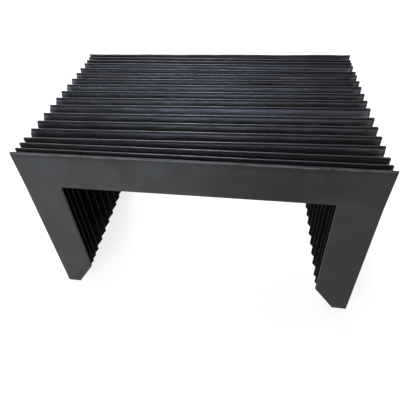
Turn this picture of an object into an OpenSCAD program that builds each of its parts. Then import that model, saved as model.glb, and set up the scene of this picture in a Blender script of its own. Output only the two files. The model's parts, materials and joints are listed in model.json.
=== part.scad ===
// Bridge-shaped bellows cover for a guideway: one pleated cloth skin over flat U-shaped
// stiffener frames, closed by two end plates. Its legs stand beside the rail and its beam
// lies over it. Millimetres, +Z up, the front plate faces -Y and the feet stand on Z = 0.

/* [Outline] */
// Width over both legs
cover_w = 340; // [240:1:480]
// Height from the feet to the top
cover_h = 211.5; // [150:0.5:300]
// Width of one leg
leg_w = 38.5; // [28:0.5:60]
// Height of the beam above the rail space
beam_h = 41.5; // [28:0.5:60]
// Width of the flat sole under each leg
foot_w = 15.5; // [8:0.5:24]
// Height of the slanted corner beside each sole
foot_slant_h = 34.5; // [15:0.5:60]

/* [Plates] */
// Thickness of the two end plates
plate_t = 2.5; // [1:0.1:5]
// Thickness of a stiffener frame
frame_t = 0.8; // [0.5:0.1:2]

/* [Cloth] */
// Thickness of the coated cloth
cloth_t = 0.4; // [0.2:0.05:0.7]
// Glue line between the cloth and what it is bonded to
glue_t = 0.15; // [0.05:0.05:0.3]
// Depth of the cloth that is glued to the sides of a frame or a plate
grip_h = 1.8; // [1:0.1:3]
// Width of the crease at the bottom of a fold
crease_w = 1; // [0.6:0.1:1.6]
// Width of the cloth that the widest fold has to spare
spare_w = 0.8; // [0.5:0.1:4]

/* [Folds] */
// Width of a freely open fold, between the cloth on its two frames
fold_w = 12.6; // [10.6:0.1:16]
// Where a fold is creased, as a share of its opening from the front
crease_share = 0.36; // [0.3:0.01:0.6]
// How the rear panel of a fold billows: 1 is flat
billow = 1.5; // [1:0.1:2.5]

/* [Hidden] */
// How far each fold stands open midway across, from front to rear, as a share of a freely
// open one
fold_share = [0.4, 0.56, 0.8, 1, 1, 1.04, 1.16, 1.04, 1, 1.08, 0.92, 1, 0.72, 1, 0.56, 0.48, 0.6];
folds = len(fold_share);
frames = folds - 1;
// How many degrees each rib stands turned, its right end back. The plates stand square.
rib_turn = [0, 0.1, 0.35, 1.6, 1.3, 1.4, 1.45, 1.55, 1.3, 1.15, 1, 0.55, 0.35,
    -0.55, -0.5, -0.6, -0.9, 0];

// Chords in the billowing panel of a fold
panel_steps = 4;

// What the cloth and its glue add to a face or an edge
wrap = cloth_t + glue_t;

// Rib 0 is the front plate, the last is the rear plate and the frames stand between them.
// Places along the cover count from the front plate's face, midway across the cover.
function gap(k) = fold_w * fold_share[k];
function rib_t(k) = k == 0 || k == folds ? plate_t : frame_t;
function rib_front(k) = k == 0 ? 0 : rib_back(k - 1) + gap(k - 1) + 2 * wrap;
function rib_back(k) = rib_front(k) + rib_t(k);
cover_l = rib_back(folds);

// Where the loose cloth of fold k starts and ends at one side of the cover, -1 left or 1 right
function turned(k, side) = side * cover_w / 2 * tan(rib_turn[k]);
function fold_start(k, side) = rib_back(k) + wrap + turned(k, side);
function fold_end(k, side) = rib_front(k + 1) - wrap + turned(k + 1, side);
function side_gap(k, side) = fold_end(k, side) - fold_start(k, side);

// All folds hold the same cloth, so a closer one hangs deeper
widest_gap = max([for (k = [0 : folds - 1], side = [-1, 1]) side_gap(k, side)]);
fold_cloth = widest_gap + spare_w;
function crease_depth(gap) = grip_h + sqrt(pow(fold_cloth, 2) - pow(gap, 2)) / 2;

function frame_name(k) = str("frame_", k < 10 ? "0" : "", k);

// U outline with slanted inner corners at the feet. Its top and sides stand in by edge, to
// leave room for the cloth that is folded over them.
module arch(edge) {
    half = cover_w / 2;
    right = [
        [half - leg_w, cover_h - beam_h],
        [half - leg_w, foot_slant_h],
        [half - foot_w, 0],
        [half - edge, 0],
        [half - edge, cover_h - edge],
    ];
    left = [for (i = [len(right) - 1 : -1 : 0]) [-right[i].x, right[i].y]];
    polygon(concat(right, left));
}

// The flat sheet of that outline that stands across the cover as rib k
module rib(k, edge) {
    translate([0, rib_back(k) - cover_l / 2, 0])
        rotate([90, 0, rib_turn[k]])
            linear_extrude(rib_t(k))
                arch(edge);
}

module front_plate() {
    color([0.29, 0.30, 0.30]) rib(0, 0);
}

module stiffener(k) {
    color([0.06, 0.06, 0.065]) rib(k, wrap);
}

module rear_plate() {
    color([0.25, 0.26, 0.27]) rib(folds, 0);
}

// Outer face of the cloth along one fold at one side, as [place along the cover, depth
// below the top]
function fold_line(k, side) = let (
    from = fold_start(k, side),
    to = fold_end(k, side),
    crease = from + crease_share * (to - from),
    low = crease_depth(to - from),
    rise = to - (crease + crease_w / 2)
) concat(
    [[from, 0], [from, grip_h], [crease - crease_w / 2, low], [crease + crease_w / 2, low]],
    [for (i = [panel_steps - 1 : -1 : 0])
        let (u = i / panel_steps)
        [to - rise * u, grip_h + (low - grip_h) * pow(u, billow)]],
    [[to, 0]]
);

// The whole outer face at one side, which lies flat over each frame and ends on the plates
function skin_line(side) = [for (k = [0 : folds - 1]) each fold_line(k, side)];

// Unit normal of the line's stretch after point i, towards the inside of the cover
function inward(line, i) =
    let (d = line[i + 1] - line[i])
    [-d.y, d.x] / norm(d);

// The same line moved inwards by the cloth's thickness, with mitred corners
function inner_line(line) = let (last = len(line) - 1) [
    for (i = [0 : last])
        let (
            a = inward(line, max(i - 1, 0)),
            b = inward(line, min(i, last - 1))
        )
        line[i] + cloth_t * (a + b) / (1 + a * b)
];

// A point of the left and one of the right line carried round the arch: up the left leg,
// over the top and down the right leg
function around(l, r) = let (half = cover_w / 2, back = cover_l / 2) [
    [l.y - half, l.x - back, 0],
    [l.y - half, l.x - back, cover_h - l.y],
    [half - r.y, r.x - back, cover_h - r.y],
    [half - r.y, r.x - back, 0],
];

module bellows_skin() {
    left = skin_line(-1);
    right = skin_line(1);
    n = len(left);
    corners = 4;
    faces = [[left, right], [inner_line(left), inner_line(right)]];
    points = [for (face = faces, i = [0 : n - 1]) each around(face[0][i], face[1][i])];
    // Number of a point on the outer (0) or inner (1) face
    function at(face, i, j) = (face * n + i) * corners + j;
    // Four corners as two triangles, because a fold's panels are slightly twisted
    function halves(a, b, c, d) = [[a, b, c], [a, c, d]];
    walls = [
        for (i = [0 : n - 2], j = [0 : corners - 2]) each concat(
            halves(at(0, i, j), at(0, i + 1, j), at(0, i + 1, j + 1), at(0, i, j + 1)),
            halves(at(1, i, j), at(1, i, j + 1), at(1, i + 1, j + 1), at(1, i + 1, j))
        )
    ];
    soles = [
        for (i = [0 : n - 2]) each [
            [at(0, i, 0), at(1, i, 0), at(1, i + 1, 0), at(0, i + 1, 0)],
            [at(0, i, 3), at(0, i + 1, 3), at(1, i + 1, 3), at(1, i, 3)],
        ]
    ];
    margins = [
        for (j = [0 : corners - 2]) each [
            [at(0, 0, j), at(0, 0, j + 1), at(1, 0, j + 1), at(1, 0, j)],
            [at(0, n - 1, j), at(1, n - 1, j), at(1, n - 1, j + 1), at(0, n - 1, j + 1)],
        ]
    ];
    color([0.09, 0.09, 0.10])
        polyhedron(points = points, faces = concat(walls, soles, margins), convexity = 20);
}

front_plate();
for (k = [1 : frames]) stiffener(k);
rear_plate();
bellows_skin();
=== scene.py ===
"""Looks of a bridge-shaped bellows cover for a guideway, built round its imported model.

The two end plates and the pleated cloth are modelled here in finer form, the stiffener frames
keep their own shape and get a finish, and the stage holds the floor, the lamps and the camera.
"""

import json
import math

import bmesh
import bpy
import numpy as np
from bpy.props import FloatProperty, FloatVectorProperty, IntProperty, PointerProperty
from mathutils import Vector
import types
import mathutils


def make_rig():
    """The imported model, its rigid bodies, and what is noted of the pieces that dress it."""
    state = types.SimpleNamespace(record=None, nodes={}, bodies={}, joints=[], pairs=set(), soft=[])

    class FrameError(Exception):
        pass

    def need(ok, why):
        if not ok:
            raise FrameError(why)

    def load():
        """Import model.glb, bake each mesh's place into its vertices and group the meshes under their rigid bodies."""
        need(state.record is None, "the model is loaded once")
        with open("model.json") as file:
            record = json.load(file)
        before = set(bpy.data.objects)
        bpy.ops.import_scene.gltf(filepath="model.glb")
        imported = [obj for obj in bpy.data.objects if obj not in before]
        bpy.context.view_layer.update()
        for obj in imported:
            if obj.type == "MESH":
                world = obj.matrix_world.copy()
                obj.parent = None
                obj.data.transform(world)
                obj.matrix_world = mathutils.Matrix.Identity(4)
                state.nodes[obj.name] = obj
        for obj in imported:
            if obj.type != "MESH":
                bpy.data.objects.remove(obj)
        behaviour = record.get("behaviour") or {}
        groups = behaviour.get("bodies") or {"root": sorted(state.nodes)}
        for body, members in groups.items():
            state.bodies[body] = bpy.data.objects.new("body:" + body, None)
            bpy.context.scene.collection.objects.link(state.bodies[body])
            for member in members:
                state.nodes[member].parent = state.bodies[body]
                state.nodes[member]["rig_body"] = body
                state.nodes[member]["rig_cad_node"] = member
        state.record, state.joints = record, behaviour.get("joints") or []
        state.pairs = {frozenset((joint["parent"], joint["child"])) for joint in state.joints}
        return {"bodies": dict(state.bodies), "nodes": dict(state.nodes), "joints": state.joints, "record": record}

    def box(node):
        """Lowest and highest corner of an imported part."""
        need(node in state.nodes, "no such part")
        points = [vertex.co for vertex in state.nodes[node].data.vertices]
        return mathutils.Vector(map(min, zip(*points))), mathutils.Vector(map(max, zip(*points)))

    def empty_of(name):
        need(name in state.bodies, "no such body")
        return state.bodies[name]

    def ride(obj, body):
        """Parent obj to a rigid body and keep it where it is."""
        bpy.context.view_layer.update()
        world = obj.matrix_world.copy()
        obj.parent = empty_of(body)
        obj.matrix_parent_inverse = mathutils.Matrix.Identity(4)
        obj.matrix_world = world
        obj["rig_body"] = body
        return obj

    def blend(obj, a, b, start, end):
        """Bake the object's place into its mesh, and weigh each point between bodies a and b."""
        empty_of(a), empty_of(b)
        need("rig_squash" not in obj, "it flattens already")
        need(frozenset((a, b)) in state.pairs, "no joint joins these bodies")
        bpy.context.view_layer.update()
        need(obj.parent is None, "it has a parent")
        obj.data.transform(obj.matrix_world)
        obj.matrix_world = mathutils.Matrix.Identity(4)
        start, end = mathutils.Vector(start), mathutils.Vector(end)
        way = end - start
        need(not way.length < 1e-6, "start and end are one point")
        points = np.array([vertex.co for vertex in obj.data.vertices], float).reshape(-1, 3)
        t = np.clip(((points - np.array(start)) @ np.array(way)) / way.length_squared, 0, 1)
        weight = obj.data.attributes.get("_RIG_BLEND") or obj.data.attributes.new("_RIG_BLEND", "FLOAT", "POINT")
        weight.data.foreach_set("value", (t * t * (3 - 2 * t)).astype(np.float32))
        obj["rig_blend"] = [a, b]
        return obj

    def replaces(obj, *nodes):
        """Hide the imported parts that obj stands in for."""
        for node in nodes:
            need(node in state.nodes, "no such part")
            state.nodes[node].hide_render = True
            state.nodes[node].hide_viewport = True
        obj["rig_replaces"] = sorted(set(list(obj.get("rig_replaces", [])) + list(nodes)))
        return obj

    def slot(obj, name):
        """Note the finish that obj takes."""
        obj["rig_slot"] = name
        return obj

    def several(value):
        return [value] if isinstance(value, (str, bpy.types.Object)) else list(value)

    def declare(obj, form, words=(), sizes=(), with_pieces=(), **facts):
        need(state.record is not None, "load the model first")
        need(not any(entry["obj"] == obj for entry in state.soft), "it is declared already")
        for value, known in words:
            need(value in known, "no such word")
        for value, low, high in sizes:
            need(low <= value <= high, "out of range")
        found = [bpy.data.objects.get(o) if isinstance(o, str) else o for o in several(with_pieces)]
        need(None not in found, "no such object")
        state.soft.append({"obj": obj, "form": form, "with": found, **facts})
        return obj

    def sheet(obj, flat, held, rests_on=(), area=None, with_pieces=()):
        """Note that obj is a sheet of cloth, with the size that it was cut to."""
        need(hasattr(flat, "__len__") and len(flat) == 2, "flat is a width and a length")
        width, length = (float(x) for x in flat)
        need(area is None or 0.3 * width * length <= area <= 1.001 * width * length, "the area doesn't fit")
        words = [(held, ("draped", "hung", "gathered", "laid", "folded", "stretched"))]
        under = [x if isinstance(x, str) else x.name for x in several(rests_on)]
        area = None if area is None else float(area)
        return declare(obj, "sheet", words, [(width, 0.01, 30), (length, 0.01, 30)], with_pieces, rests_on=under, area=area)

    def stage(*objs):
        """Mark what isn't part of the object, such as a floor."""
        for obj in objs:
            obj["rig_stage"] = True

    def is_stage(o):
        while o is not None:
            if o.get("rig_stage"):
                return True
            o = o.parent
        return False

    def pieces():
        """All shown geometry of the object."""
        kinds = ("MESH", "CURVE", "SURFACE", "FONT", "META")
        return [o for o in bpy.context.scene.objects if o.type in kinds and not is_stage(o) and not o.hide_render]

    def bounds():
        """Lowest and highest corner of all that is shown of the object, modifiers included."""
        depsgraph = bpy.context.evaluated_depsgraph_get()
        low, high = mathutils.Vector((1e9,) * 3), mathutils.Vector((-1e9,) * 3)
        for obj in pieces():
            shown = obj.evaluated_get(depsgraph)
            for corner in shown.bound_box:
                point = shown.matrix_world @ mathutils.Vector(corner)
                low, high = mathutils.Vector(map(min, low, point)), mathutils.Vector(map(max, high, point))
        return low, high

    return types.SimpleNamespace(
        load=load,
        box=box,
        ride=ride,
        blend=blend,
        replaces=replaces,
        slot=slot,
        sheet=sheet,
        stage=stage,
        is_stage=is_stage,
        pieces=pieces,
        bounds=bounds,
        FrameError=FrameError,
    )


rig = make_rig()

bl_info = {
    "name": "Guideway Bellows Cover",
    "version": (1, 0, 0),
    "blender": (4, 5, 0),
    "location": "3D View > Sidebar > Bellows",
    "description": "Builds the end plates, the pleated cloth, the stiffeners' finish and a plain studio",
    "category": "Add Mesh",
}

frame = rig.load()
CAD_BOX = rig.bounds()
SIZE_FILE = "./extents.json"
MM = 0.001
# What is nearer than this to a line or a level counts as on it
CLOSE = 1 * MM

# The ribs that carry the cloth, from front to rear, and the body that each of them rides on
STIFFENERS = sorted(name for name in frame["nodes"] if name.startswith("frame_"))
RIBS = ["front_plate", *STIFFENERS, "rear_plate"]
BODY_OF = {
    node: body
    for body, nodes in frame["record"]["behaviour"]["bodies"].items()
    for node in nodes
}


def levels(node, axis):
    """Distinct distances of a node's corners from the middle along an axis, smallest first."""
    return sorted({round(abs(v.co[axis]), 6) for v in frame["nodes"][node].data.vertices})


# Half widths and heights of the arch outline, which all ribs share
INNER_X, SOLE_X, HALF_W = levels("front_plate", 0)
GROUND, SLANT_Z, INNER_Z, TOP = levels("front_plate", 2)
FRONT_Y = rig.box("front_plate")[0].y
# What the cloth and its glue add to a stiffener's edge and sides
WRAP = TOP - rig.box(STIFFENERS[0])[1].z


def rib_faces(node, side):
    """Places of a rib's front and back faces at its left (-1) or right (1) end.

    The ribs stand a little turned, so their two ends differ.
    """
    corners = [v.co for v in frame["nodes"][node].data.vertices]
    at_end = max(corner.x * side for corner in corners) - 0.5 * MM
    places = [corner.y for corner in corners if corner.x * side > at_end]
    return min(places), max(places)


def loose_cloth(k, side):
    """Where the loose cloth of fold k starts and ends along the cover, at one side."""
    return rib_faces(RIBS[k], side)[1] + WRAP, rib_faces(RIBS[k + 1], side)[0] - WRAP


WIDEST_GAP = max(
    end - start
    for k in range(len(RIBS) - 1)
    for start, end in (loose_cloth(k, -1), loose_cloth(k, 1))
)

# Spots of painted shade on the front plate: each spot's middle, its reach and its strength
PAINTED_SHADE_SPOTS = (
    ((0.08, FRONT_Y, 0.185), 65 * MM, 1.05),
    ((0.15, FRONT_Y, 0.02), 150 * MM, 0.5),
)

# The lamps: name, place, two sides, power in watts and colour. All point at the cover's middle
LAMPS = (
    ("lamp_behind", (-0.26, 1.25, 1.07), (0.36, 0.55), 13.8, (0.84, 0.87, 1.0)),
    ("lamp_behind_left", (-0.85, 1.1, 1.0), (0.5, 0.5), 4.0, (1.0, 0.99, 0.95)),
    ("lamp_above", (-0.15, 0.60, 1.40), (0.9, 0.6), 10.8, (0.60, 0.67, 1.0)),
    ("lamp_over", (-0.15, 0.05, 1.45), (0.8, 0.4), 2.2, (0.94, 0.96, 1.0)),
    ("lamp_right", (0.75, 0.35, 1.1), (0.5, 0.5), 2.7, (1.0, 0.92, 0.76)),
    ("lamp_front", (-0.155, -0.455, 0.22), (0.3, 0.3), 1.38, (0.82, 0.90, 1.0)),
)


class PlateSettings(bpy.types.PropertyGroup):
    """Sizes and colours of the two end plates."""

    top_radius: FloatProperty(
        name="Top radius", description="Radius of the rounded edges along the top",
        default=1.0 * MM, min=0.4 * MM, max=1.2 * MM, subtype="DISTANCE", unit="LENGTH")
    edge_radius: FloatProperty(
        name="Edge radius", description="Radius of all the other edges",
        default=0.35 * MM, min=0.2 * MM, max=1.2 * MM, subtype="DISTANCE", unit="LENGTH")
    flare: FloatProperty(
        name="Flare", description="How far each top corner stands out beyond the folds",
        default=1.1 * MM, min=0, max=1.5 * MM, subtype="DISTANCE", unit="LENGTH")
    rise: FloatProperty(
        name="Rise", description="How far the plates' top edges stand above the folds",
        default=0.6 * MM, min=0, max=1.5 * MM, subtype="DISTANCE", unit="LENGTH")
    grid: FloatProperty(
        name="Grid", description="Largest side of a face before the plate is subdivided",
        default=36 * MM, min=15 * MM, max=100 * MM, subtype="DISTANCE", unit="LENGTH")
    wave: FloatProperty(
        name="Wave", description="How far the top and the rims wander from a straight line",
        default=1.0 * MM, min=0, max=3 * MM, subtype="DISTANCE", unit="LENGTH")
    colour: FloatVectorProperty(
        name="Colour", description="Colour of the matt grey sheet",
        default=(0.0475, 0.0478, 0.0475), min=0, max=1, size=3, subtype="COLOR")
    # The dark end of the sheet's tone, where it is stained and where shade is painted on it
    stained_and_shaded: FloatVectorProperty(
        name="Dull colour", description="Colour of the sheet where it is handled and dull",
        default=(0.0295, 0.028, 0.0245), min=0, max=1, size=3, subtype="COLOR")


class ClothSettings(bpy.types.PropertyGroup):
    """Sizes and colours of the coated cloth and its folds."""

    thickness: FloatProperty(
        name="Thickness", description="Thickness of the coated cloth",
        default=0.4 * MM, min=0.2 * MM, max=0.7 * MM, subtype="DISTANCE", unit="LENGTH")
    grip: FloatProperty(
        name="Grip", description="Depth of the cloth that is glued to a stiffener's sides",
        default=1.5 * MM, min=1 * MM, max=3 * MM, subtype="DISTANCE", unit="LENGTH")
    spare: FloatProperty(
        name="Spare", description="Cloth that the widest fold has to spare",
        default=1.6 * MM, min=0.5 * MM, max=4 * MM, subtype="DISTANCE", unit="LENGTH")
    crease_width: FloatProperty(
        name="Crease width", description="Width of the crease at the bottom of a fold",
        default=1.0 * MM, min=0.6 * MM, max=1.6 * MM, subtype="DISTANCE", unit="LENGTH")
    crease_share: FloatProperty(
        name="Crease place", description="Where a fold is creased, as a share of its opening",
        default=0.36, min=0.3, max=0.6, subtype="FACTOR")
    billow: FloatProperty(
        name="Billow", description="How the rear panel of a fold billows, where 1 is flat",
        default=1.9, min=1, max=2.5)
    corner_radius: FloatProperty(
        name="Corner radius", description="Radius of the cloth over a stiffener's top corners",
        default=1.3 * MM, min=0.5 * MM, max=3 * MM, subtype="DISTANCE", unit="LENGTH")
    web_length: FloatProperty(
        name="Web length", description="Length of the puckered cloth beside a top corner",
        default=9 * MM, min=4 * MM, max=20 * MM, subtype="DISTANCE", unit="LENGTH")
    web_share: FloatProperty(
        name="Web depth", description="Depth of a fold at the corner, as a share of its depth",
        default=0.6, min=0.2, max=1, subtype="FACTOR")
    pucker: FloatProperty(
        name="Pucker", description="Depth of the dimple in the cloth just inside a top corner",
        default=0.5 * MM, min=0, max=1.5 * MM, subtype="DISTANCE", unit="LENGTH")
    wander: FloatProperty(
        name="Wander", description="How far the loose cloth strays from an even fold",
        default=0.3 * MM, min=0, max=1.5 * MM, subtype="DISTANCE", unit="LENGTH")
    lumps: FloatProperty(
        name="Lumps", description="Height of the shallow lumps in the loose cloth",
        default=0.15 * MM, min=0, max=1 * MM, subtype="DISTANCE", unit="LENGTH")
    kink: FloatProperty(
        name="Kink", description="How far a fold's top edge strays from a straight line",
        default=0.12 * MM, min=0, max=0.5 * MM, subtype="DISTANCE", unit="LENGTH")
    seed: IntProperty(
        name="Seed", description="Start of the random numbers that make the folds uneven", default=7)
    colour: FloatVectorProperty(
        name="Colour", description="Colour of the black coating",
        default=(0.005, 0.005, 0.006), min=0, max=1, size=3, subtype="COLOR")
    worn_and_highlit: FloatVectorProperty(
        name="Worn colour", description="Colour of the coating where a fold's edge is scuffed",
        default=(0.014, 0.014, 0.015), min=0, max=1, size=3, subtype="COLOR")


class StageSettings(bpy.types.PropertyGroup):
    """Camera, lamps and floor."""

    camera_place: FloatVectorProperty(
        name="Camera place", description="Place of the lens, from the front plate's middle on the floor",
        default=(51.9 * MM, -240.4 * MM, 422.8 * MM), size=3, subtype="TRANSLATION", unit="LENGTH")
    camera_turn: FloatVectorProperty(
        name="Camera turn", description="Turn of the camera",
        default=tuple(math.radians(a) for a in (51.489, 3.880, 8.831)), size=3, subtype="EULER")
    lens: FloatProperty(
        name="Lens", description="Focal length in millimetres on a 36 mm sensor",
        default=33.496, min=10, max=200)
    shift: FloatVectorProperty(
        name="Shift", description="Lens shift that frames the view",
        default=(0.03095, -0.13036), size=2)
    floor_colour: FloatVectorProperty(
        name="Floor colour", description="Colour of the pale floor",
        default=(0.47, 0.45, 0.41), min=0, max=1, size=3, subtype="COLOR")


def deselect_all():
    """Leaves nothing selected, because the CAD nodes come in selected."""
    for thing in bpy.context.selected_objects:
        thing.select_set(False)


def activate(thing):
    """Makes one object the only selected and the active one."""
    deselect_all()
    thing.select_set(True)
    bpy.context.view_layer.objects.active = thing


def select_in_mesh(kind, wanted):
    """In edit mode, selects the faces, edges or corners for which wanted(element) holds."""
    bpy.ops.mesh.select_all(action="DESELECT")
    mesh = bmesh.from_edit_mesh(bpy.context.object.data)
    mesh.normal_update()
    elements = {"FACE": mesh.faces, "EDGE": mesh.edges, "VERT": mesh.verts}[kind]
    chosen = [e for e in elements if wanted(e)]
    for element in chosen:
        element.select = True
    mesh.select_flush_mode()
    bmesh.update_edit_mesh(bpy.context.object.data)
    if not chosen:
        raise RuntimeError(f"no {kind.lower()} of {bpy.context.object.name} is where it should be")


def cut(point, normal):
    """In edit mode, cuts the whole mesh along a plane and keeps both sides."""
    bpy.ops.mesh.select_all(action="SELECT")
    bpy.ops.mesh.bisect(plane_co=point, plane_no=normal)


def apply_modifier(thing, name, kind, **settings):
    """Adds a modifier with these settings and applies it."""
    activate(thing)
    modifier = thing.modifiers.new(name, kind)
    for setting, value in settings.items():
        setattr(modifier, setting, value)
    bpy.ops.object.modifier_apply(modifier=modifier.name)


def finish_piece(thing, material, slot):
    """Gives a piece its material and the record's slot that it takes its finish from."""
    thing.data.materials.clear()
    thing.data.materials.append(material)
    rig.slot(thing, slot)


class Nodes:
    """A node tree, with short calls that add and link nodes."""

    def __init__(self, tree):
        self.tree = tree

    def add(self, kind, links=None, **settings):
        """Adds a node. Settings are its attributes, links its inputs as values or other outputs."""
        made = self.tree.nodes.new("ShaderNode" + kind)
        for setting, value in settings.items():
            setattr(made, setting, value)
        for socket, value in (links or {}).items():
            self.put(made.inputs[socket], value)
        return made

    def put(self, socket, value):
        """Links an output to a socket, or sets the socket's own value."""
        if isinstance(value, bpy.types.NodeSocket):
            self.tree.links.new(value, socket)
        else:
            socket.default_value = value

    def spread(self, value, low, high, to_low, to_high):
        """A value between two limits, spread over another range and held there."""
        return self.add("MapRange", {
            "Value": value, "From Min": low, "From Max": high, "To Min": to_low, "To Max": to_high,
        }).outputs["Result"]

    def sums(self, operation, a, b):
        """Two values through one arithmetic operation."""
        return self.add("Math", {0: a, 1: b}, operation=operation).outputs["Value"]

    def seen(self):
        """1 for what the camera, a gloss or glass sees, 0 for the light that falls on things."""
        rays = self.add("LightPath").outputs
        direct = self.sums("MAXIMUM", rays["Is Camera Ray"], rays["Is Glossy Ray"])
        return self.sums("MAXIMUM", direct, rays["Is Transmission Ray"])


class Shader(Nodes):
    """A new material's nodes, round its surface shader."""

    def __init__(self, name):
        self.material = bpy.data.materials.new(name)
        self.material.use_nodes = True
        super().__init__(self.material.node_tree)
        self.surface = self.tree.nodes["Principled BSDF"]

    def surface_is(self, **inputs):
        """Sets the surface shader's sockets, named with underscores for spaces."""
        for name, value in inputs.items():
            self.put(self.surface.inputs[name.replace("_", " ")], value)

    def place(self, scale=(1, 1, 1), uv=None):
        """Object coordinates, or those of a UV map, stretched by a scale."""
        if uv:
            source = self.add("UVMap", uv_map=uv).outputs["UV"]
        else:
            source = self.add("TexCoord").outputs["Object"]
        return self.add("Mapping", {"Vector": source, "Scale": scale}).outputs["Vector"]

    def noise(self, size, place, detail=3.0, roughness=0.5):
        """Cloudy pattern from 0 to 1 whose patches are about this size, in metres."""
        return self.add("TexNoise", {
            "Vector": place, "Scale": 1 / size, "Detail": detail, "Roughness": roughness,
        }).outputs["Fac"]

    def threads(self, width, direction, uv):
        """Slightly uneven threads of this width, side by side along X or Y of a UV map."""
        # Along the threads the pattern is stretched until it hardly changes
        stretched = (1, 0.02, 1) if direction == "X" else (0.02, 1, 1)
        # The texture's waves are 0.314 long at scale 1, and one wave makes two threads
        return self.add("TexWave", {
            "Vector": self.place(stretched, uv), "Scale": 0.314 / width / 2, "Distortion": 0.4,
        }, bands_direction=direction).outputs["Fac"]

    def blend_colours(self, share, a, b):
        """One colour changing into another."""
        # A Mix node has sockets of the same names for each kind of value. These are the colours
        return self.add("Mix", {"Factor": share, 6: a, 7: b}, data_type="RGBA").outputs[2]

    def bump(self, height, depth, under=None):
        """Relief of this depth in metres, on top of another one."""
        links = {"Height": height, "Distance": depth, "Strength": 1.0}
        if under is not None:
            links["Normal"] = under
        return self.add("Bump", links).outputs["Normal"]


def rgba(colour, factor=1.0):
    """A colour with full alpha, made lighter or darker by a factor."""
    return (*(c * factor for c in colour), 1.0)


def grey_sheet():
    """Matt grey plastic sheet: a fine grain, cloudy patches and small stains, with painted shade under the top rim, in
    spots and down the legs, and a painted highlight along the beam's lower edge and on the rounded top rims.
    """
    shader = Shader("grey_sheet")
    settings = bpy.context.scene.bellows_plates
    stained_and_shaded = rgba(settings.stained_and_shaded)
    pale = rgba(settings.colour, 1.25)
    # Colour of the painted highlight on the rims
    scuffed_and_highlit = rgba(settings.colour, 3.1)
    place = shader.place()
    clouds = shader.noise(32 * MM, place, detail=5, roughness=0.55)
    stains = shader.noise(7 * MM, place, detail=3)
    grain = shader.noise(0.5 * MM, place, detail=2)
    # Height above the floor, with a swing so that no band of the sheet is straight
    swing = shader.spread(shader.noise(26 * MM, place, detail=3), 0.2, 0.8, -0.9 * MM, 0.9 * MM)
    height = shader.sums("ADD", shader.add("SeparateXYZ", {"Vector": place}).outputs["Z"], swing)
    # Painted shade in a band under the top rim, a painted highlight along the beam's lower edge that also lightens the
    # legs below it, and painted shade that grows down the legs towards the feet
    painted_shade_under_rim = shader.spread(height, TOP - 7 * MM, TOP - 2 * MM, 0, 0.7)
    painted_light_below_beam = shader.spread(height, INNER_Z + 4 * MM, INNER_Z, 0, 0.3)
    painted_shade_down_legs = shader.spread(height, 120 * MM, 175 * MM, 0.35, 0)
    # The tone is low where the sheet is mottled darker, stained or painted with shade, and high where it is mottled
    # paler or painted with a highlight
    tone = shader.spread(clouds, 0.38, 0.62, 0, 1)
    tone = shader.sums("SUBTRACT", tone, painted_shade_under_rim)
    tone = shader.sums("ADD", tone, painted_light_below_beam)
    tone = shader.sums("SUBTRACT", tone, shader.spread(stains, 0.66, 0.74, 0, 0.5))
    # Each spot darkens the tone around it: painted shade
    for spot, reach, strength in PAINTED_SHADE_SPOTS:
        away = shader.add("VectorMath", {0: place, 1: spot}, operation="DISTANCE").outputs["Value"]
        tone = shader.sums("SUBTRACT", tone, shader.spread(away, 18 * MM, reach, strength, 0))
    tone = shader.sums("SUBTRACT", tone, painted_shade_down_legs)
    face = shader.blend_colours(shader.spread(tone, -0.6, 1.2, 0, 1), stained_and_shaded, pale)
    # Painted highlight on the rounded rims: lighter where they face up and forward, half as much where they face up
    # and back, broken into patches
    facing = shader.add("SeparateXYZ", {"Vector": shader.add("NewGeometry").outputs["Normal"]})
    forward = shader.sums("MULTIPLY", facing.outputs["Y"], -1)
    backward = shader.sums("MULTIPLY", facing.outputs["Y"], 0.5)
    slanted = shader.sums("MULTIPLY", facing.outputs["Z"], shader.sums("MAXIMUM", forward, backward))
    highlight_patches = shader.noise(16 * MM, place, detail=4, roughness=0.6)
    rub_and_highlight = shader.sums(
        "MULTIPLY", shader.spread(slanted, 0.08, 0.24, 0, 1), shader.spread(highlight_patches, 0.4, 0.52, 0.4, 1))
    shader.surface_is(
        Base_Color=shader.blend_colours(rub_and_highlight, face, scuffed_and_highlit),
        Roughness=shader.spread(clouds, 0.38, 0.62, 0.5, 0.62),
        Specular_IOR_Level=0.15,
        Normal=shader.bump(grain, 0.05 * MM, shader.bump(clouds, 0.5 * MM)),
    )
    return shader.material


def black_stiffener():
    """Thin black plastic sheet with a satin face and faint rub marks."""
    shader = Shader("black_stiffener")
    black = rgba((0.002, 0.002, 0.002))
    rub_and_highlight = rgba((0.005, 0.005, 0.005))
    place = shader.place()
    rubs = shader.noise(18 * MM, shader.place((1, 1, 0.3)), detail=4, roughness=0.6)
    grain = shader.noise(0.4 * MM, place, detail=2)
    shader.surface_is(
        Base_Color=shader.blend_colours(shader.spread(rubs, 0.4, 0.75, 0, 1), black, rub_and_highlight),
        Roughness=shader.spread(rubs, 0.3, 0.7, 0.5, 0.65),
        Specular_IOR_Level=0.06,
        Normal=shader.bump(grain, 0.03 * MM),
    )
    return shader.material


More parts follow.
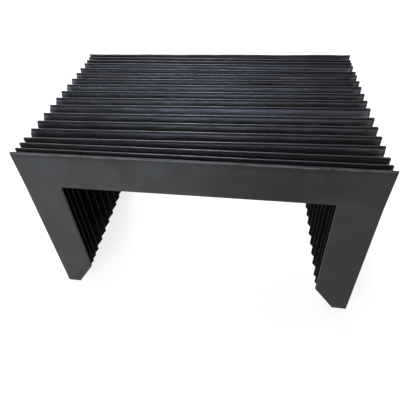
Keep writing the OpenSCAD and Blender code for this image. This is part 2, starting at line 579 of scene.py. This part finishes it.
def coated_cloth():
    """Black coated cloth: a faint weave under a soft sheen, with scuffs and a painted highlight along the fold edges.
    """
    shader = Shader("coated_cloth")
    settings = bpy.context.scene.bellows_cloth
    uv = "cloth"
    thread = 0.55 * MM
    weave = shader.sums(
        "MULTIPLY", shader.threads(thread, "X", uv), shader.threads(thread, "Y", uv))
    streaks = shader.noise(3.5 * MM, shader.place((0.18, 1, 1), uv), detail=3)
    blotches = shader.noise(30 * MM, shader.place(), detail=4, roughness=0.6)
    crumples = shader.noise(10 * MM, shader.place((0.6, 1, 1), uv), detail=4, roughness=0.6)
    edge = shader.add("Attribute", attribute_name="fold_edge").outputs["Fac"]
    scuffs = shader.noise(6 * MM, shader.place((0.3, 1, 1), uv), detail=4, roughness=0.65)
    # Scuffs along the fold edges, painted lighter, which also stand for a painted highlight there
    worn_and_highlit = shader.sums("MULTIPLY", edge, shader.spread(scuffs, 0.35, 0.65, 0.15, 1))
    polish = shader.noise(30 * MM, shader.place((0.5, 1, 1), uv), detail=4, roughness=0.6)
    polished = shader.sums("MULTIPLY", edge, shader.spread(polish, 0.4, 0.6, 0, 0.1))
    relief = shader.bump(crumples, 0.9 * MM)
    relief = shader.bump(streaks, 0.2 * MM, relief)
    relief = shader.bump(weave, 0.03 * MM, relief)
    shader.surface_is(
        Base_Color=shader.blend_colours(worn_and_highlit, rgba(settings.colour), rgba(settings.worn_and_highlit)),
        Roughness=shader.sums("SUBTRACT", shader.spread(blotches, 0.35, 0.65, 0.38, 0.5), polished),
        Specular_IOR_Level=0.45,
        Normal=relief,
    )
    return shader.material


def pale_floor():
    """Pale paper that shows white to the camera and keeps the object's shadow."""
    shader = Shader("pale_floor")
    colour = bpy.context.scene.bellows_stage.floor_colour
    tone = shader.noise(0.4, shader.place(), detail=2)
    shader.surface_is(
        Base_Color=shader.blend_colours(tone, rgba(colour, 0.98), rgba(colour, 1.02)),
        Roughness=0.9,
        Specular_IOR_Level=0.1,
    )
    glow = shader.sums("MULTIPLY", shader.seen(), 0.81)
    white = shader.add("Emission", {"Color": (1, 1, 1, 1), "Strength": glow})
    both = shader.add("AddShader", {0: shader.surface.outputs[0], 1: white.outputs[0]})
    shader.put(shader.tree.nodes["Material Output"].inputs["Surface"], both.outputs[0])
    return shader.material


def is_leg_end(face, level):
    """Whether a face looks down from one of the legs at this level."""
    centre = face.calc_center_median()
    return face.normal.z < -0.9 and abs(centre.z - level) < CLOSE and abs(centre.x) > INNER_X


def is_outline(edge):
    """Whether an edge runs along the front's or the back's outline and isn't nearly flat."""
    ends = edge.verts
    return (
        edge.is_manifold and edge.calc_face_angle() > math.radians(15)
        and abs(ends[0].co.y - ends[1].co.y) < CLOSE)


def arch_block(node, settings):
    """The U-shaped block that stands for a node, with bevel weights on the edges to soften."""
    low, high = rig.box(node)
    middle = (low + high) / 2
    deselect_all()
    bpy.ops.mesh.primitive_cube_add(
        size=1,
        location=(0, middle.y, (INNER_Z + TOP) / 2),
        scale=(2 * HALF_W, high.y - low.y, TOP - INNER_Z),
    )
    plate = bpy.context.object
    plate.name = plate.data.name = node + "_sheet"
    bpy.ops.object.transform_apply(location=True, rotation=False, scale=True)

    bpy.ops.object.mode_set(mode="EDIT")
    bpy.context.tool_settings.mesh_select_mode = (False, False, True)
    for x in (-INNER_X, INNER_X):
        cut((x, 0, 0), (1, 0, 0))
    drops = (INNER_Z - SLANT_Z, SLANT_Z - GROUND)
    for level, drop in zip((INNER_Z, SLANT_Z), drops):
        select_in_mesh("FACE", lambda face, z=level: is_leg_end(face, z))
        bpy.ops.mesh.extrude_region_move(TRANSFORM_OT_translate={"value": (0, 0, -drop)})
    bpy.context.tool_settings.mesh_select_mode = (True, False, False)
    select_in_mesh("VERT", lambda v: abs(v.co.z) < CLOSE and abs(v.co.x) < INNER_X + CLOSE)
    bpy.ops.transform.resize(value=(SOLE_X / INNER_X, 1, 1), center_override=(0, 0, 0))

    columns = math.ceil(2 * INNER_X / settings.grid)
    for i in range(1, columns):
        cut((-INNER_X + 2 * INNER_X * i / columns, 0, 0), (1, 0, 0))
    rows = math.ceil((INNER_Z - SLANT_Z) / settings.grid)
    for i in range(1, rows):
        cut((0, 0, SLANT_Z + (INNER_Z - SLANT_Z) * i / rows), (0, 0, 1))

    select_in_mesh("VERT", lambda v: v.co.z > TOP - CLOSE)
    bpy.ops.transform.resize(value=(1 + settings.flare / HALF_W, 1, 1), center_override=(0, 0, 0))
    bpy.ops.transform.translate(value=(0, 0, settings.rise))
    bpy.context.tool_settings.mesh_select_mode = (False, True, False)
    select_in_mesh("EDGE", is_outline)
    bpy.ops.transform.edge_bevelweight(value=settings.edge_radius / settings.top_radius)
    select_in_mesh("EDGE", lambda e: is_outline(e) and min(v.co.z for v in e.verts) > TOP - CLOSE)
    bpy.ops.transform.edge_bevelweight(value=1)
    bpy.ops.object.mode_set(mode="OBJECT")
    return plate


def arch_plate(node):
    """The U-shaped plate that stands for a node, with soft, slightly wavy edges."""
    settings = bpy.context.scene.bellows_plates
    plate = arch_block(node, settings)
    apply_modifier(
        plate, "soft edges", "BEVEL", width=settings.top_radius, segments=4, limit_method="WEIGHT")
    apply_modifier(plate, "fine", "SUBSURF", subdivision_type="SIMPLE", levels=3, render_levels=3)
    rim = plate.vertex_groups.new(name="rim")
    # The waves fade out over this depth below the top edge
    reach = 3.5 * MM
    for vertex in plate.data.vertices:
        nearness = 1 - (TOP + settings.rise - vertex.co.z) / reach
        if nearness > 0:
            rim.add([vertex.index], min(1.0, nearness), "REPLACE")
    clouds = bpy.data.textures.new("rim_waves", "CLOUDS")
    clouds.noise_scale = 22 * MM
    apply_modifier(
        plate, "waves", "DISPLACE", texture=clouds, texture_coords="LOCAL", direction="Z",
        strength=settings.wave, mid_level=0.5, vertex_group="rim")
    bpy.ops.object.shade_smooth()
    return plate


def steps_between(length, first, last, growth=1.3):
    """Places from 0 to a length whose steps grow from the first size to the last."""
    places, step = [0.0], first
    while places[-1] < length:
        places.append(places[-1] + step)
        step = min(step * growth, last)
    return np.array(places) * length / places[-1]


def arch_stations(radius):
    """Stations round the arch, from the left foot over the top to the right foot.

    Each has its share of the width (-1 to 1) and height (0 to 1), the way out of the arch
    there and its length from the left foot. All depths below the top use the same shares.
    """
    # Steps are short beside the top corners and longer further away
    short, long = 0.8 * MM, 4 * MM
    leg = 1 - steps_between(TOP, short, long)[::-1] / TOP
    half = steps_between(HALF_W, short, long) / HALF_W
    # The ways out over a rounded corner, between those of its leg and of the beam
    turn = np.radians(np.linspace(0, 90, 6))[1:-1]
    beam = np.concatenate([-1 + half[:-1], (1 - half)[::-1]])
    share_x = np.concatenate([-np.ones(len(leg) + len(turn)), beam, np.ones(len(leg) + len(turn))])
    share_z = np.concatenate([leg, np.ones(2 * len(turn) + len(beam)), leg[::-1]])
    out_x = np.concatenate([
        -np.ones(len(leg)), -np.cos(turn), np.zeros(len(beam)), np.cos(turn)[::-1], np.ones(len(leg))])
    out_z = np.concatenate([
        np.zeros(len(leg)), np.sin(turn), np.ones(len(beam)), np.sin(turn)[::-1], np.zeros(len(leg))])
    x = share_x * (HALF_W - radius) + radius * out_x
    z = share_z * (TOP - radius) + radius * out_z
    run = np.concatenate([[0], np.cumsum(np.hypot(np.diff(x), np.diff(z)))])
    return share_x, share_z, out_x, out_z, run


def wander(rng, run, patch):
    """Smooth random line from -1 to 1 along the arch, whose swings are about as long as patch."""
    knots = np.arange(-patch, run[-1] + 2 * patch, patch)
    values = rng.uniform(-1, 1, len(knots))
    place = (run - knots[0]) / patch
    i = np.clip(place.astype(int), 0, len(knots) - 2)
    share = place - i
    share = share * share * (3 - 2 * share)
    return values[i] * (1 - share) + values[i + 1] * share


def swings(rng, run, long, short, share):
    """Long random swings along the arch with a share of short ones on them."""
    return wander(rng, run, long) + share * wander(rng, run, short)


def eased(corners, steps=3):
    """A line through corners, each with a reach over which it is rounded. Returns its points."""
    # A rounding takes at most this share of the way to the next corner
    most = 0.45
    points = []
    for i, (place, reach) in enumerate(corners):
        place = np.array(place)
        if reach == 0 or i in (0, len(corners) - 1):
            points.append(place)
            continue
        back = np.array(corners[i - 1][0]) - place
        ahead = np.array(corners[i + 1][0]) - place
        start = place + back * min(most, reach / np.linalg.norm(back))
        end = place + ahead * min(most, reach / np.linalg.norm(ahead))
        for t in np.linspace(0, 1, steps + 1):
            points.append((1 - t) ** 2 * start + 2 * t * (1 - t) * place + t * t * end)
    return np.array(points)


def fold_line(k, side, settings):
    """Outer face of the cloth at one side, as (place, depth) points.

    It runs from the glued cloth on rib k over fold k and, unless it is the last, over rib k + 1.
    """
    last = k == len(RIBS) - 2
    start, end = loose_cloth(k, side)
    cloth = WIDEST_GAP + settings.spare
    grip = settings.grip
    low = grip + math.sqrt(cloth ** 2 - (end - start) ** 2) / 2
    crease = start + settings.crease_share * (end - start)
    half_crease = settings.crease_width / 2
    rise = end - (crease + half_crease)
    # Two folds meet on a rib's side at this depth
    seam = 0.6 * grip
    # Reaches of the roundings where the cloth comes loose and where it turns over a rib's edge
    soft = 0.35 * MM
    over_edge = 0.85 * MM
    corners = [((start, seam if k else 0), 0), ((start, grip), soft)]
    for u in (0.35, 0.7):
        corners.append(((start + (crease - half_crease - start) * u, grip + (low - grip) * u), 0))
    corners.append(((crease - half_crease, low - half_crease / 2), half_crease))
    corners.append(((crease + half_crease, low - half_crease / 2), half_crease))
    chords = 9
    for i in range(chords - 1, 0, -1):
        u = i / chords
        corners.append(((end - rise * u, grip + (low - grip) * u ** settings.billow), 0))
    corners.append(((end, grip), soft))
    if last:
        corners.append(((end, 0), 0))
    else:
        rib_end = rib_faces(RIBS[k + 1], side)[1] + WRAP
        corners += [((end, 0), over_edge), ((rib_end, 0), over_edge), ((rib_end, seam), 0)]
    return eased(corners)


def lumpy(rng, run, rows, size, count=5):
    """Smooth random field from -1 to 1 over a fold, from a count of lines along the arch."""
    lines = np.stack([wander(rng, run, size) for _ in range(count)])
    place = np.linspace(0, len(lines) - 1, rows)
    below = np.minimum(place.astype(int), len(lines) - 2)
    share = (place - below)[:, None]
    return lines[below] * (1 - share) + lines[below + 1] * share


def grid_piece(name, points, flat, on_edge):
    """A piece whose mesh is a grid, from each point's place, flat place and nearness to an edge."""
    rows, columns = on_edge.shape

    def at(i, j):
        return i * columns + j

    faces = [
        (at(i, j), at(i, j + 1), at(i + 1, j + 1), at(i + 1, j))
        for i in range(rows - 1)
        for j in range(columns - 1)
    ]
    mesh = bpy.data.meshes.new(name)
    mesh.from_pydata(points.reshape(-1, 3).tolist(), [], faces)
    uv = mesh.uv_layers.new(name="cloth")
    corner_vertex = np.zeros(len(mesh.loops), int)
    mesh.loops.foreach_get("vertex_index", corner_vertex)
    uv.data.foreach_set("uv", flat.reshape(-1, 2)[corner_vertex].ravel())
    edge = mesh.attributes.new("fold_edge", "FLOAT", "POINT")
    edge.data.foreach_set("value", on_edge.ravel().astype(np.float32))
    piece = bpy.data.objects.new(name, mesh)
    bpy.context.scene.collection.objects.link(piece)
    return piece


def cloth_fold(k, stations, rib_kinks, rng, settings):
    """One fold of the cloth, as an open surface carried round the arch, and its flat length."""
    share_x, share_z, out_x, out_z, run = stations
    left, right = (fold_line(k, side, settings) for side in (-1, 1))
    across = (share_x + 1) / 2
    depth = left[:, 1:] * (1 - across) + right[:, 1:] * across

    # Beside a top corner, where apart is 0, the fold is shallower
    beside = np.min([np.abs(run - TOP), np.abs(run - TOP - 2 * HALF_W)], axis=0)
    apart = np.clip(beside / settings.web_length, 0, 1)
    depth = depth * (settings.web_share + (1 - settings.web_share) * apart * (2 - apart))
    # How far the cloth is from the ribs it is glued to, which hold it still
    loose = np.clip((depth - settings.grip) / (2 * MM), 0, 1)
    # Just inside the corner the cloth near the ribs is dimpled, more or less from place to place
    deepest = 0.4
    dimple = np.clip(1 - ((apart - deepest) / deepest) ** 2, 0, 1) ** 2 * (1 - 0.9 * loose)
    dimple = dimple * (0.75 + 0.5 * wander(rng, run, 5 * MM))
    depth += settings.pucker * dimple * np.clip(2 * depth / settings.grip - 1, 0, 1)
    sag = swings(rng, run, long=38 * MM, short=13 * MM, share=0.5)
    lean = swings(rng, run, long=55 * MM, short=17 * MM, share=0.4)
    lumps = lumpy(rng, run, len(depth), 16 * MM)
    depth += settings.wander * loose * sag + settings.lumps * loose * lumps
    # Along its two glued edges the cloth has the kinks of the ribs there
    onward = np.linspace(0, 1, len(depth))[:, None]
    kink = (1 - onward) * rib_kinks[k] + onward * rib_kinks[k + 1]
    depth += settings.kink * kink * (1 - loose)

    radius = settings.corner_radius
    x = share_x * (HALF_W - radius - depth) + radius * out_x
    z = share_z * (TOP - radius - depth) + radius * out_z
    across = (x / HALF_W + 1) / 2
    place = left[:, :1] * (1 - across) + right[:, :1] * across + settings.wander * loose * lean
    points = np.stack([x, place, z], axis=2)
    middle = (left + right) / 2
    length = np.concatenate([[0], np.cumsum(np.linalg.norm(np.diff(middle, axis=0), axis=1))])
    flat = np.stack(np.broadcast_arrays(run[None, :], length[:, None]), axis=2)
    # The fold edge with scuffs and a painted highlight reaches this deep
    scuffed_and_highlit = 0.7 * MM
    on_edge = np.clip(1 - depth / scuffed_and_highlit, 0, 1)
    piece = grid_piece(f"cloth_fold_{k + 1:02d}", points, flat, on_edge)
    return piece, length[-1]


def blend_over(piece, k):
    """Lets the loose cloth of fold k stretch between its two ribs.

    The ribs aren't parallel, so it stretches square to the line midway between them.
    """
    (left_start, left_end), (right_start, right_end) = loose_cloth(k, -1), loose_cloth(k, 1)
    slope = (right_start + right_end - left_start - left_end) / 2 / (2 * HALF_W)
    along = Vector((-slope, 1, 0)).normalized()
    starts = (along.dot((-HALF_W, left_start, 0)), along.dot((HALF_W, right_start, 0)))
    ends = (along.dot((-HALF_W, left_end, 0)), along.dot((HALF_W, right_end, 0)))
    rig.blend(
        piece, BODY_OF[RIBS[k]], BODY_OF[RIBS[k + 1]],
        start=tuple(along * max(starts)), end=tuple(along * min(ends)))


class BELLOWS_OT_plates(bpy.types.Operator):
    """Add the front and rear end plates"""

    bl_idname = "bellows.plates"
    bl_label = "Add End Plates"

    def execute(self, context):
        material = grey_sheet()
        for node in ("front_plate", "rear_plate"):
            plate = arch_plate(node)
            finish_piece(plate, material, "plate")
            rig.ride(plate, BODY_OF[node])
            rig.replaces(plate, node)
        return {"FINISHED"}


class BELLOWS_OT_stiffeners(bpy.types.Operator):
    """Give the stiffener frames their black finish"""

    bl_idname = "bellows.stiffeners"
    bl_label = "Finish Stiffeners"

    def execute(self, context):
        material = black_stiffener()
        for name in STIFFENERS:
            mesh = frame["nodes"][name].data
            mesh.materials.clear()
            mesh.materials.append(material)
        return {"FINISHED"}


class BELLOWS_OT_cloth(bpy.types.Operator):
    """Add the pleated cloth, one piece for each fold"""

    bl_idname = "bellows.cloth"
    bl_label = "Add Pleated Cloth"

    def execute(self, context):
        settings = context.scene.bellows_cloth
        material = coated_cloth()
        stations = arch_stations(settings.corner_radius)
        run = stations[-1]
        rng = np.random.default_rng(settings.seed)
        rib_kinks = [swings(rng, run, long=45 * MM, short=11 * MM, share=0.4) for _ in RIBS]
        for k in range(len(RIBS) - 1):
            piece, length = cloth_fold(k, stations, rib_kinks, rng, settings)
            apply_modifier(
                piece, "thickness", "SOLIDIFY", thickness=settings.thickness, offset=-1,
                use_even_offset=True)
            bpy.ops.object.shade_smooth()
            finish_piece(piece, material, "cloth")
            blend_over(piece, k)
            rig.sheet(piece, flat=(run[-1], length), held="folded", rests_on=RIBS[k:k + 2])
            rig.replaces(piece, "bellows_skin")
        return {"FINISHED"}


def soft_lamp(name, place, aim, sides, power, colour):
    """Adds a rectangular lamp that points at a place."""
    bpy.ops.object.light_add(type="AREA", location=place)
    lamp = bpy.context.object
    lamp.name = name
    lamp.rotation_euler = (Vector(aim) - Vector(place)).to_track_quat("-Z", "Y").to_euler()
    lamp.data.shape = "RECTANGLE"
    lamp.data.size, lamp.data.size_y = sides
    lamp.data.energy = power
    lamp.data.color = colour


def pale_world():
    """Soft light all round, white at the horizon and dimmer overhead."""
    world = bpy.data.worlds.new("studio")
    world.use_nodes = True
    nodes = Nodes(world.node_tree)
    direction = nodes.add("TexCoord").outputs["Generated"]
    height = nodes.add("SeparateXYZ", {"Vector": direction}).outputs["Z"]
    # The horizon looks white, but the light that it gives is weaker
    horizon = nodes.spread(nodes.seen(), 0, 1, 0.18, 0.95)
    background = nodes.tree.nodes["Background"]
    nodes.put(background.inputs["Color"], (1, 1, 1, 1))
    nodes.put(background.inputs["Strength"], nodes.spread(height, 0.34, 0.58, horizon, 0.04))
    return world


class BELLOWS_OT_stage(bpy.types.Operator):
    """Add the floor, the lamps, the camera and the view settings"""

    bl_idname = "bellows.stage"
    bl_label = "Set Stage"

    def execute(self, context):
        scene = context.scene
        settings = scene.bellows_stage
        deselect_all()
        # The floor lies a little below the feet, so that no two faces share a plane
        bpy.ops.mesh.primitive_plane_add(size=12, location=(0, 0, -0.3 * MM))
        floor = context.object
        floor.name = "floor"
        floor.data.materials.append(pale_floor())
        bpy.ops.object.transform_apply(location=True, rotation=False, scale=False)
        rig.stage(floor)

        middle = (0, 0, TOP / 2)
        for name, place, sides, power, colour in LAMPS:
            soft_lamp(name, place, middle, sides, power, colour)
        scene.world = pale_world()

        camera = bpy.data.objects.new("camera", bpy.data.cameras.new("camera"))
        scene.collection.objects.link(camera)
        camera.location = Vector((0, FRONT_Y, 0)) + Vector(settings.camera_place)
        camera.rotation_euler = settings.camera_turn
        camera.data.sensor_width = 36
        camera.data.lens = settings.lens
        camera.data.shift_x, camera.data.shift_y = settings.shift
        camera.data.clip_start = 0.01
        scene.camera = camera
        scene.view_settings.view_transform = "Standard"
        return {"FINISHED"}


class BELLOWS_PT_panel(bpy.types.Panel):
    """Lists the steps that build the cover"""

    bl_label = "Bellows"
    bl_idname = "BELLOWS_PT_panel"
    bl_space_type = "VIEW_3D"
    bl_region_type = "UI"
    bl_category = "Bellows"

    def draw(self, context):
        scene = context.scene
        for settings, step in (
            (scene.bellows_plates, BELLOWS_OT_plates),
            (None, BELLOWS_OT_stiffeners),
            (scene.bellows_cloth, BELLOWS_OT_cloth),
            (scene.bellows_stage, BELLOWS_OT_stage),
        ):
            box = self.layout.box()
            names = settings.bl_rna.properties.keys() if settings else ()
            for name in names:
                if name not in ("rna_type", "name"):
                    box.prop(settings, name)
            box.operator(step.bl_idname)


CLASSES = (
    PlateSettings, ClothSettings, StageSettings,
    BELLOWS_OT_plates, BELLOWS_OT_stiffeners, BELLOWS_OT_cloth, BELLOWS_OT_stage,
    BELLOWS_PT_panel,
)


def register():
    """Registers the classes and gives each scene the settings."""
    for cls in CLASSES:
        bpy.utils.register_class(cls)
    bpy.types.Scene.bellows_plates = PointerProperty(type=PlateSettings)
    bpy.types.Scene.bellows_cloth = PointerProperty(type=ClothSettings)
    bpy.types.Scene.bellows_stage = PointerProperty(type=StageSettings)


def unregister():
    """Takes the settings and the classes away again."""
    del bpy.types.Scene.bellows_stage
    del bpy.types.Scene.bellows_cloth
    del bpy.types.Scene.bellows_plates
    for cls in reversed(CLASSES):
        bpy.utils.unregister_class(cls)


def main():
    """Builds the cover and its stage, and writes the boxes of the CAD and the visual model."""
    register()
    bpy.ops.bellows.plates()
    bpy.ops.bellows.stiffeners()
    bpy.ops.bellows.cloth()
    bpy.ops.bellows.stage()
    boxes = {"cad": CAD_BOX, "visual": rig.bounds()}
    with open(SIZE_FILE, "w") as file:
        json.dump({name: [list(corner) for corner in box] for name, box in boxes.items()}, file)


if __name__ == "__main__":
    main()
